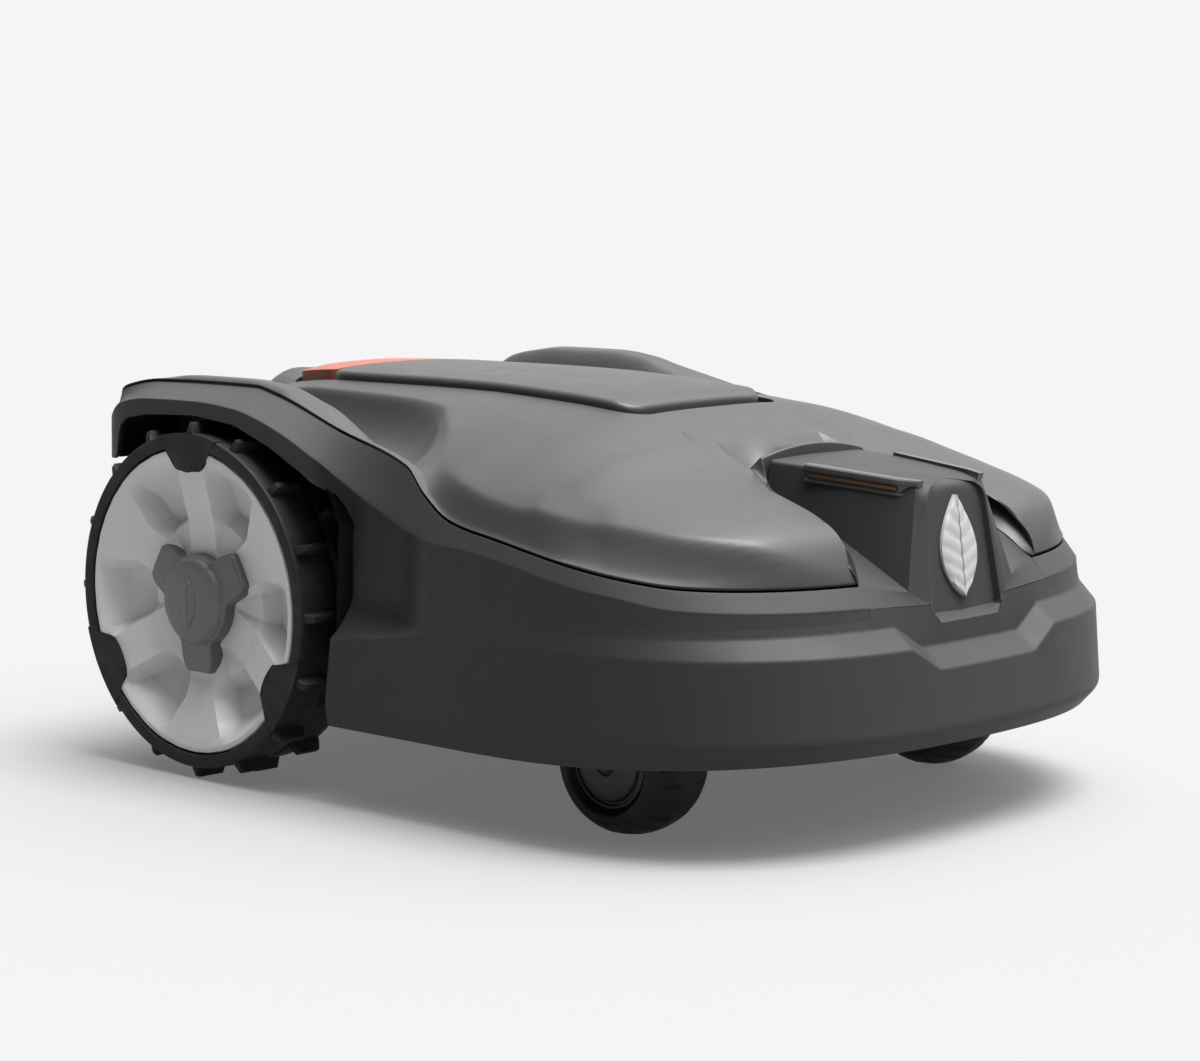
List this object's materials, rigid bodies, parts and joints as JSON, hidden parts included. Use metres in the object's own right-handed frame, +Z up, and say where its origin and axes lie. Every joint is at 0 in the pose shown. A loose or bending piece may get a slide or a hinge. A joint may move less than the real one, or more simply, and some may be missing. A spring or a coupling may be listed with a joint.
{
  "type": "robotic lawn mower",
  "caption": "Free-standing robotic lawn mower: a floating body over a chassis with driven rear wheels, swivelling front casters and a height-adjustable cutting disc.",
  "frame": {"origin": "on the ground under the centre of the bounding box", "axes": "+X forward to the nose with the charging contacts, +Y to the mower's left, +Z up"},
  "size_m": [0.568, 0.43, 0.245],
  "materials": {
    "body_plastic": "fine moulded grain",
    "cover_plastic": "satin, fine moulded grain",
    "signal_plastic": "satin",
    "badge_plastic": "satin silver",
    "rim_plastic": "satin",
    "cap_plastic": "fine moulded grain",
    "black_plastic": "matte",
    "key_rubber": "soft matte",
    "post_rubber": "matte",
    "tyre_rubber": "matte",
    "steel": "brushed",
    "contact_copper": "satin, lightly oxidised",
    "display_window": "clear gloss over a dark display",
    "circuit_board": "solder mask"
  },
  "bodies": {
    "chassis": {"chassis_lower": "black_plastic", "chassis_upper": "black_plastic", "battery_pack": "black_plastic", "battery_cover": "body_plastic", "main_board": "circuit_board", "control_panel": "black_plastic", "display_window": "display_window", "gear_motor_left": "black_plastic", "gear_motor_right": "black_plastic", "caster_bush_left": "steel", "caster_bush_right": "steel"},
    "posts": {"rear_post_left": "post_rubber", "rear_post_right": "post_rubber", "front_post_left": "post_rubber", "front_post_right": "post_rubber"},
    "body": {"body_skirt": "body_plastic", "top_cover": "cover_plastic", "nose_badge": "badge_plastic", "contact_holder_left": "black_plastic", "contact_holder_right": "black_plastic", "contact_strip_left": "contact_copper", "contact_strip_right": "contact_copper"},
    "hatch": {"hatch_lid": "cover_plastic", "hatch_hinge_pin": "steel"},
    "stop": {"stop_button": "signal_plastic"},
    "wheel_left": {"drive_shaft_left": "steel", "rear_rim_left": "rim_plastic", "rear_tyre_left": "tyre_rubber", "hub_cap_left": "cap_plastic"},
    "wheel_right": {"drive_shaft_right": "steel", "rear_rim_right": "rim_plastic", "rear_tyre_right": "tyre_rubber", "hub_cap_right": "cap_plastic"},
    "swivel_left": {"caster_arm_left": "black_plastic", "caster_axle_left": "steel"},
    "swivel_right": {"caster_arm_right": "black_plastic", "caster_axle_right": "steel"},
    "caster_left": {"caster_hub_left": "black_plastic", "caster_tyre_left": "tyre_rubber"},
    "caster_right": {"caster_hub_right": "black_plastic", "caster_tyre_right": "tyre_rubber"},
    "cutter_lift": {"cutting_motor": "steel", "lift_carriage": "black_plastic"},
    "cutter": {"blade_disc": "body_plastic", "blade_screw_1": "steel", "blade_screw_2": "steel", "blade_screw_3": "steel"},
    "skid": {"skid_plate": "black_plastic"},
    "blade_a": {"blade_1": "steel"},
    "blade_b": {"blade_2": "steel"},
    "blade_c": {"blade_3": "steel"},
    "height_dial": {"height_knob": "signal_plastic", "lead_screw": "steel"},
    "power": {"power_key": "signal_plastic"},
    "key_a": {"key_1": "key_rubber"},
    "key_b": {"key_2": "key_rubber"},
    "key_c": {"key_3": "key_rubber"},
    "key_d": {"key_4": "key_rubber"}
  },
  "joints": [
    {"name": "bump", "type": "slide", "parent": "chassis", "child": "posts", "axis": [1, 0, 0], "range_m": [-0.005, 0.005], "stiffness_N_per_m": 4000},
    {"name": "lift_off", "type": "slide", "parent": "posts", "child": "body", "axis": [0, 0, 1], "range_m": [0, 0.01]},
    {"name": "hatch_hinge", "type": "hinge", "parent": "body", "child": "hatch", "pos_m": [0.06, 0, 0.2235], "axis": [0, 1, 0], "range_deg": [0, 70]},
    {"name": "stop_press", "type": "slide", "parent": "body", "child": "stop", "axis": [0, 0, -1], "range_m": [0, 0.004], "stiffness_N_per_m": 3000, "springref_m": -0.002},
    {"name": "wheel_left_spin", "type": "hinge", "parent": "chassis", "child": "wheel_left", "pos_m": [-0.166, 0.185, 0.1095], "axis": [0, 1, 0], "continuous": true},
    {"name": "wheel_right_spin", "type": "hinge", "parent": "chassis", "child": "wheel_right", "pos_m": [-0.166, -0.185, 0.1095], "axis": [0, 1, 0], "continuous": true},
    {"name": "swivel_left_turn", "type": "hinge", "parent": "chassis", "child": "swivel_left", "pos_m": [0.145, 0.138, 0.1], "axis": [0, 0, 1], "continuous": true},
    {"name": "swivel_right_turn", "type": "hinge", "parent": "chassis", "child": "swivel_right", "pos_m": [0.145, -0.138, 0.1], "axis": [0, 0, 1], "continuous": true},
    {"name": "caster_left_roll", "type": "hinge", "parent": "swivel_left", "child": "caster_left", "pos_m": [0.133, 0.138, 0.044], "axis": [0, 1, 0], "continuous": true},
    {"name": "caster_right_roll", "type": "hinge", "parent": "swivel_right", "child": "caster_right", "pos_m": [0.133, -0.138, 0.044], "axis": [0, 1, 0], "continuous": true},
    {"name": "cutting_height", "type": "slide", "parent": "chassis", "child": "cutter_lift", "axis": [0, 0, 1], "range_m": [-0.03, 0]},
    {"name": "height_turn", "type": "hinge", "parent": "chassis", "child": "height_dial", "pos_m": [0.022, 0, 0.2], "axis": [0, 0, 1], "range_deg": [0, 330]},
    {"name": "cutter_spin", "type": "hinge", "parent": "cutter_lift", "child": "cutter", "pos_m": [-0.03, 0, 0.055], "axis": [0, 0, 1], "continuous": true},
    {"name": "skid_spin", "type": "hinge", "parent": "cutter", "child": "skid", "pos_m": [-0.03, 0, 0.045], "axis": [0, 0, 1], "continuous": true},
    {"name": "blade_a_swing", "type": "hinge", "parent": "cutter", "child": "blade_a", "pos_m": [0.03928, 0.04, 0.05], "axis": [0, 0, 1], "continuous": true},
    {"name": "blade_b_swing", "type": "hinge", "parent": "cutter", "child": "blade_b", "pos_m": [-0.09928, 0.04, 0.05], "axis": [0, 0, 1], "continuous": true},
    {"name": "blade_c_swing", "type": "hinge", "parent": "cutter", "child": "blade_c", "pos_m": [-0.03, -0.08, 0.05], "axis": [0, 0, 1], "continuous": true},
    {"name": "power_press", "type": "slide", "parent": "chassis", "child": "power", "axis": [0, 0, -1], "range_m": [0, 0.0012], "stiffness_N_per_m": 800},
    {"name": "key_a_press", "type": "slide", "parent": "chassis", "child": "key_a", "axis": [0, 0, -1], "range_m": [0, 0.001], "stiffness_N_per_m": 800},
    {"name": "key_b_press", "type": "slide", "parent": "chassis", "child": "key_b", "axis": [0, 0, -1], "range_m": [0, 0.001], "stiffness_N_per_m": 800},
    {"name": "key_c_press", "type": "slide", "parent": "chassis", "child": "key_c", "axis": [0, 0, -1], "range_m": [0, 0.001], "stiffness_N_per_m": 800},
    {"name": "key_d_press", "type": "slide", "parent": "chassis", "child": "key_d", "axis": [0, 0, -1], "range_m": [0, 0.001], "stiffness_N_per_m": 800}
  ],
  "couplings": [
    {"joint": "height_turn", "follows": "cutting_height", "rad_per_m": -191.9}
  ]
}
